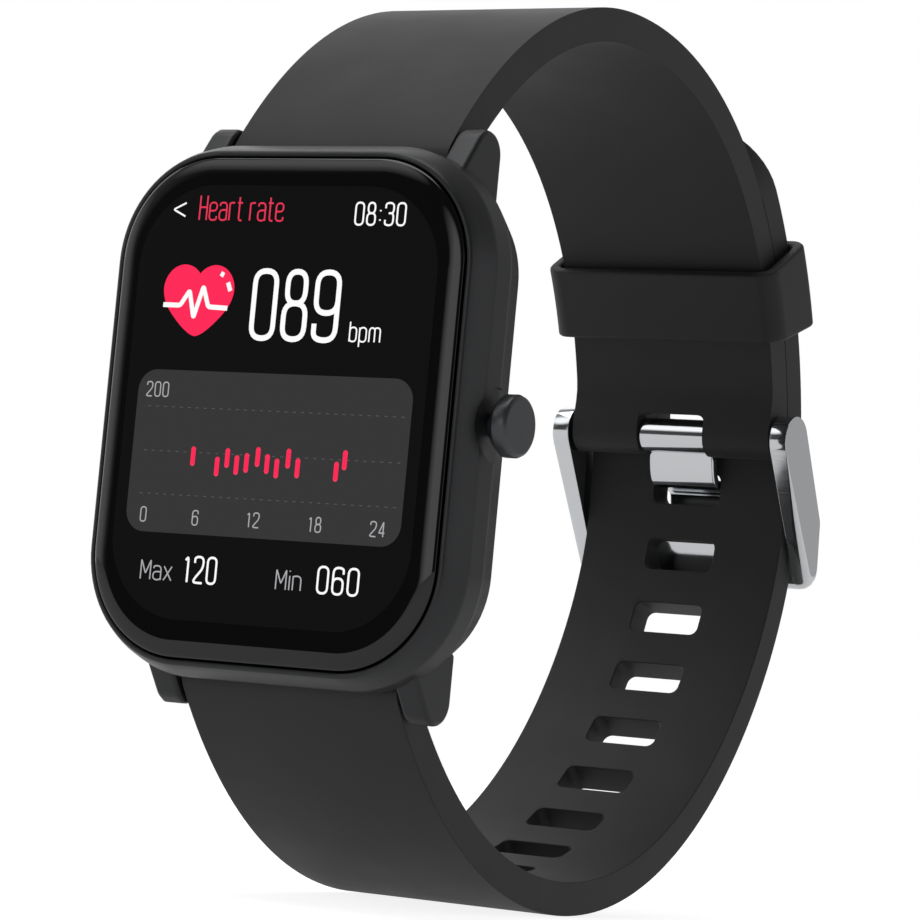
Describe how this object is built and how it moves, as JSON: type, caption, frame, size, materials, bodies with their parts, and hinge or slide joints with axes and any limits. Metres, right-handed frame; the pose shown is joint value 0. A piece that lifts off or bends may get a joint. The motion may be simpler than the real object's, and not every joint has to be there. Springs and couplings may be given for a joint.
{
  "type": "smartwatch",
  "caption": "Square-faced smartwatch with a side push button, buckled silicone band, spring bars, keeper loop and full inner electronics.",
  "frame": {"origin": "centre of the flat outer face of the sensor window on the back of the case", "axes": "+Y from the display towards the wrist, +Z to twelve o'clock, +X to the button side"},
  "size_m": [0.0362, 0.0737, 0.0746],
  "materials": {
    "case_black": "black satin anodised",
    "glass_black": "black-backed polished glass",
    "rubber_seal": "black rubber",
    "display_dark": "dark laminated panel",
    "sheet_steel": "bright sheet steel",
    "polyimide": "amber polyimide film",
    "inner_plastic": "black moulded plastic",
    "circuit_board": "green solder mask",
    "chip_black": "black moulded package",
    "battery_foil": "silver pouch foil",
    "motor_steel": "plain steel",
    "button_grey": "grey satin anodised",
    "cover_black": "black moulded plastic",
    "sensor_glass": "dark polished glass",
    "led_green": "green lamp package",
    "gold_contact": "gold-plated",
    "screw_black": "blackened steel",
    "band_silicone": "matte black silicone",
    "bar_steel": "plain stainless steel",
    "buckle_chrome": "polished"
  },
  "bodies": {
    "watch": {"case_shell": "case_black", "front_glass": "glass_black", "glass_gasket": "rubber_seal", "rear_gasket": "rubber_seal", "display_panel": "display_dark", "display_backplate": "sheet_steel", "shield_can": "sheet_steel", "display_flex": "polyimide", "switch_flex": "polyimide", "mid_frame": "inner_plastic", "main_board": "circuit_board", "sensor_board": "circuit_board", "processor": "chip_black", "memory_chip": "chip_black", "display_connector": "chip_black", "button_switch": "chip_black", "photodiode": "chip_black", "battery": "battery_foil", "vibration_motor": "motor_steel", "rear_cover": "cover_black", "sensor_window": "sensor_glass", "led_left": "led_green", "led_right": "led_green", "charge_contact_left": "gold_contact", "charge_contact_right": "gold_contact", "case_screw_1": "screw_black", "case_screw_2": "screw_black", "case_screw_3": "screw_black", "case_screw_4": "screw_black", "short_strap": "band_silicone", "long_strap": "band_silicone", "lug_bar_top_tube": "bar_steel", "lug_bar_top_spring": "bar_steel", "lug_bar_bottom_tube": "bar_steel", "lug_bar_bottom_spring": "bar_steel", "buckle_bar_tube": "bar_steel", "buckle_bar_spring": "bar_steel"},
    "button": {"button_cap": "button_grey", "button_seal": "rubber_seal", "button_clip": "sheet_steel"},
    "motor_rotor": {"motor_weight": "motor_steel"},
    "top_pin_left": {"lug_bar_top_pin_left": "bar_steel"},
    "top_pin_right": {"lug_bar_top_pin_right": "bar_steel"},
    "bottom_pin_left": {"lug_bar_bottom_pin_left": "bar_steel"},
    "bottom_pin_right": {"lug_bar_bottom_pin_right": "bar_steel"},
    "buckle_pin_left": {"buckle_bar_pin_left": "bar_steel"},
    "buckle_pin_right": {"buckle_bar_pin_right": "bar_steel"},
    "frame": {"buckle_frame": "buckle_chrome"},
    "tongue": {"buckle_tongue": "buckle_chrome"},
    "keeper": {"keeper_loop": "band_silicone"}
  },
  "joints": [
    {"name": "button_press", "type": "slide", "parent": "watch", "child": "button", "axis": [-1, 0, 0], "range_m": [0, 0.0005], "stiffness_N_per_m": 2000, "springref_m": -0.0003},
    {"name": "rotor_spin", "type": "hinge", "parent": "watch", "child": "motor_rotor", "pos_m": [0.0103, -0.0048, 0], "axis": [0, 0, 1], "continuous": true},
    {"name": "top_pin_left_slide", "type": "slide", "parent": "watch", "child": "top_pin_left", "axis": [1, 0, 0], "range_m": [0, 0.0014], "stiffness_N_per_m": 300, "springref_m": -0.0015},
    {"name": "top_pin_right_slide", "type": "slide", "parent": "watch", "child": "top_pin_right", "axis": [-1, 0, 0], "range_m": [0, 0.0014], "stiffness_N_per_m": 300, "springref_m": -0.0015},
    {"name": "bottom_pin_left_slide", "type": "slide", "parent": "watch", "child": "bottom_pin_left", "axis": [1, 0, 0], "range_m": [0, 0.0014], "stiffness_N_per_m": 300, "springref_m": -0.0015},
    {"name": "bottom_pin_right_slide", "type": "slide", "parent": "watch", "child": "bottom_pin_right", "axis": [-1, 0, 0], "range_m": [0, 0.0014], "stiffness_N_per_m": 300, "springref_m": -0.0015},
    {"name": "buckle_pin_left_slide", "type": "slide", "parent": "watch", "child": "buckle_pin_left", "axis": [1, 0, 0], "range_m": [0, 0.0009], "stiffness_N_per_m": 300, "springref_m": -0.0015},
    {"name": "buckle_pin_right_slide", "type": "slide", "parent": "watch", "child": "buckle_pin_right", "axis": [-1, 0, 0], "range_m": [0, 0.0009], "stiffness_N_per_m": 300, "springref_m": -0.0015},
    {"name": "frame_hinge", "type": "hinge", "parent": "watch", "child": "frame", "pos_m": [0, 0.05535, 0.00539], "axis": [1, 0, 0], "range_deg": [0, 4]},
    {"name": "tongue_hinge", "type": "hinge", "parent": "watch", "child": "tongue", "pos_m": [0, 0.05535, 0.00539], "axis": [1, 0, 0], "range_deg": [0, 4]},
    {"name": "keeper_slide", "type": "hinge", "parent": "watch", "child": "keeper", "pos_m": [0, 0.01747, 0.00056], "axis": [1, 0, 0], "range_deg": [-3, 3]}
  ],
  "couplings": [
    {"joint": "tongue_hinge", "follows": "frame_hinge", "ratio": 1}
  ]
}
